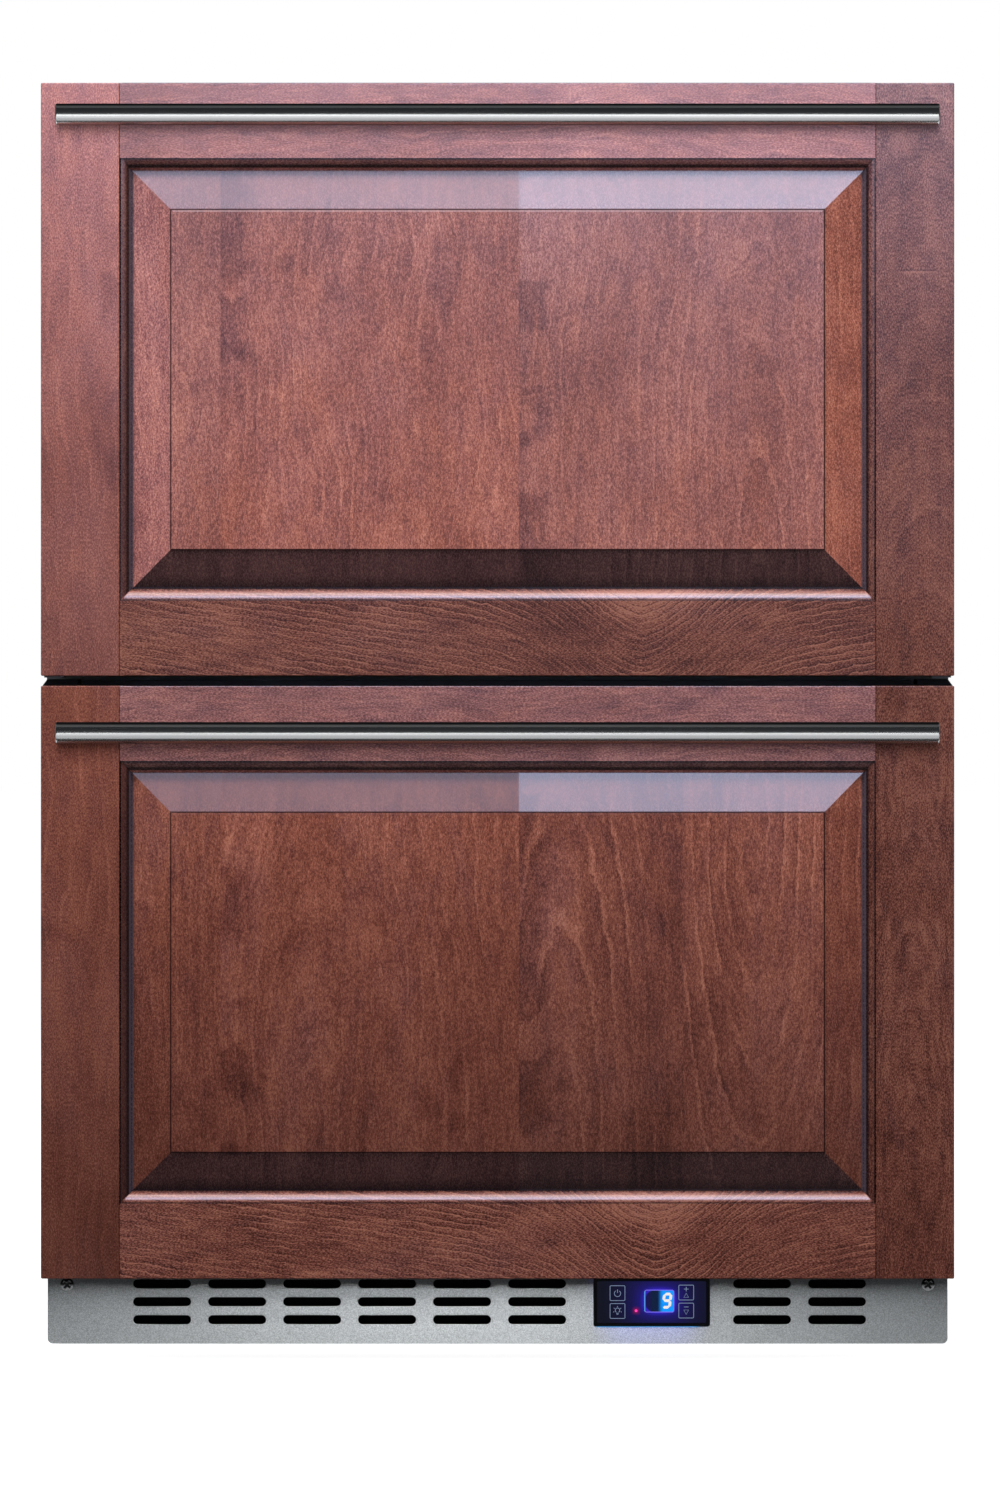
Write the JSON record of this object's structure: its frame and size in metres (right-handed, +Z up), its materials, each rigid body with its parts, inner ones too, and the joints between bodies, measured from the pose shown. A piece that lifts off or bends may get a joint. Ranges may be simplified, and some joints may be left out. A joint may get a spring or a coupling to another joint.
{
  "type": "undercounter drawer refrigerator",
  "caption": "Undercounter refrigerator with two pull-out drawers behind raised-panel wooden fronts, bar handles and a slotted steel toe kick with a touch control.",
  "frame": {"origin": "on the floor, under the middle of the bounding box, which runs from the front of the handles to the rear panel", "axes": "+Z up, -Y out of the drawer fronts towards the user, +X to the user's right"},
  "size_m": [0.6, 0.651, 0.843],
  "materials": {
    "stained_wood": "satin lacquer over red-brown stain, fine vertical and horizontal grain",
    "brushed_steel": "fine brushed stainless steel",
    "painted_steel": "satin powder coat",
    "galvanised_steel": "dull galvanised sheet",
    "cap_plastic": "fine-textured dark grey plastic",
    "dark_plastic": "matt black plastic",
    "black_enamel": "black enamel",
    "white_plastic": "smooth white plastic",
    "smoked_window": "glossy dark window over a touch panel",
    "foam": "foamed-in-place insulation",
    "gasket_rubber": "soft matt rubber",
    "foot_rubber": "hard matt rubber on a threaded stem",
    "copper": "drawn copper tube",
    "aluminium": "mill finish",
    "circuit_board": "green solder mask"
  },
  "bodies": {
    "cabinet": {"left_side_panel": "painted_steel", "right_side_panel": "painted_steel", "top_panel": "painted_steel", "rear_panel": "galvanised_steel", "face_frame": "brushed_steel", "insulation_foam": "foam", "upper_liner": "white_plastic", "lower_liner": "white_plastic", "base_pan": "galvanised_steel", "toe_kick_grille": "brushed_steel", "left_toe_screw": "brushed_steel", "right_toe_screw": "brushed_steel", "control_housing": "dark_plastic", "control_lens": "smoked_window", "control_board": "circuit_board", "compressor": "black_enamel", "condenser_coil": "copper", "fan_shroud": "dark_plastic", "evaporator_cover": "white_plastic", "evaporator_coil": "aluminium", "drain_pan": "dark_plastic", "machine_cover": "galvanised_steel", "power_inlet": "gasket_rubber", "lamp_strip": "white_plastic", "upper_left_outer_slide": "galvanised_steel", "upper_right_outer_slide": "galvanised_steel", "lower_left_outer_slide": "galvanised_steel", "lower_right_outer_slide": "galvanised_steel"},
    "upper_drawer": {"upper_left_stile": "stained_wood", "upper_right_stile": "stained_wood", "upper_top_rail": "stained_wood", "upper_bottom_rail": "stained_wood", "upper_raised_panel": "stained_wood", "upper_handle": "brushed_steel", "upper_steel_front": "brushed_steel", "upper_top_cap": "cap_plastic", "upper_gasket": "gasket_rubber", "upper_drawer_frame": "galvanised_steel", "upper_bin": "white_plastic"},
    "lower_drawer": {"lower_left_stile": "stained_wood", "lower_right_stile": "stained_wood", "lower_top_rail": "stained_wood", "lower_bottom_rail": "stained_wood", "lower_raised_panel": "stained_wood", "lower_handle": "brushed_steel", "lower_steel_front": "brushed_steel", "lower_top_cap": "cap_plastic", "lower_gasket": "gasket_rubber", "lower_drawer_frame": "galvanised_steel", "lower_bin": "white_plastic"},
    "upper_middle_slides": {"upper_left_middle_slide": "galvanised_steel", "upper_right_middle_slide": "galvanised_steel"},
    "lower_middle_slides": {"lower_left_middle_slide": "galvanised_steel", "lower_right_middle_slide": "galvanised_steel"},
    "condenser_fan": {"condenser_fan": "dark_plastic"},
    "evaporator_fan": {"evaporator_fan": "dark_plastic"},
    "front_left_foot": {"front_left_foot": "foot_rubber"},
    "front_right_foot": {"front_right_foot": "foot_rubber"},
    "rear_left_foot": {"rear_left_foot": "foot_rubber"},
    "rear_right_foot": {"rear_right_foot": "foot_rubber"}
  },
  "joints": [
    {"name": "upper_drawer_slide", "type": "slide", "parent": "cabinet", "child": "upper_drawer", "axis": [0, -1, 0], "range_m": [0, 0.38]},
    {"name": "upper_middle_slide", "type": "slide", "parent": "cabinet", "child": "upper_middle_slides", "axis": [0, -1, 0], "range_m": [0, 0.19]},
    {"name": "lower_drawer_slide", "type": "slide", "parent": "cabinet", "child": "lower_drawer", "axis": [0, -1, 0], "range_m": [0, 0.38]},
    {"name": "lower_middle_slide", "type": "slide", "parent": "cabinet", "child": "lower_middle_slides", "axis": [0, -1, 0], "range_m": [0, 0.19]},
    {"name": "condenser_fan_spin", "type": "hinge", "parent": "cabinet", "child": "condenser_fan", "pos_m": [-0.009, 0.2245, 0.138], "axis": [1, 0, 0], "continuous": true},
    {"name": "evaporator_fan_spin", "type": "hinge", "parent": "cabinet", "child": "evaporator_fan", "pos_m": [0, 0.2362, 0.72], "axis": [0, 1, 0], "continuous": true},
    {"name": "front_left_foot_screw", "type": "slide", "parent": "cabinet", "child": "front_left_foot", "axis": [0, 0, -1], "range_m": [0, 0.02]},
    {"name": "front_right_foot_screw", "type": "slide", "parent": "cabinet", "child": "front_right_foot", "axis": [0, 0, -1], "range_m": [0, 0.02]},
    {"name": "rear_left_foot_screw", "type": "slide", "parent": "cabinet", "child": "rear_left_foot", "axis": [0, 0, -1], "range_m": [0, 0.02]},
    {"name": "rear_right_foot_screw", "type": "slide", "parent": "cabinet", "child": "rear_right_foot", "axis": [0, 0, -1], "range_m": [0, 0.02]}
  ],
  "couplings": [
    {"joint": "upper_middle_slide", "follows": "upper_drawer_slide", "ratio": 0.5},
    {"joint": "lower_middle_slide", "follows": "lower_drawer_slide", "ratio": 0.5}
  ]
}
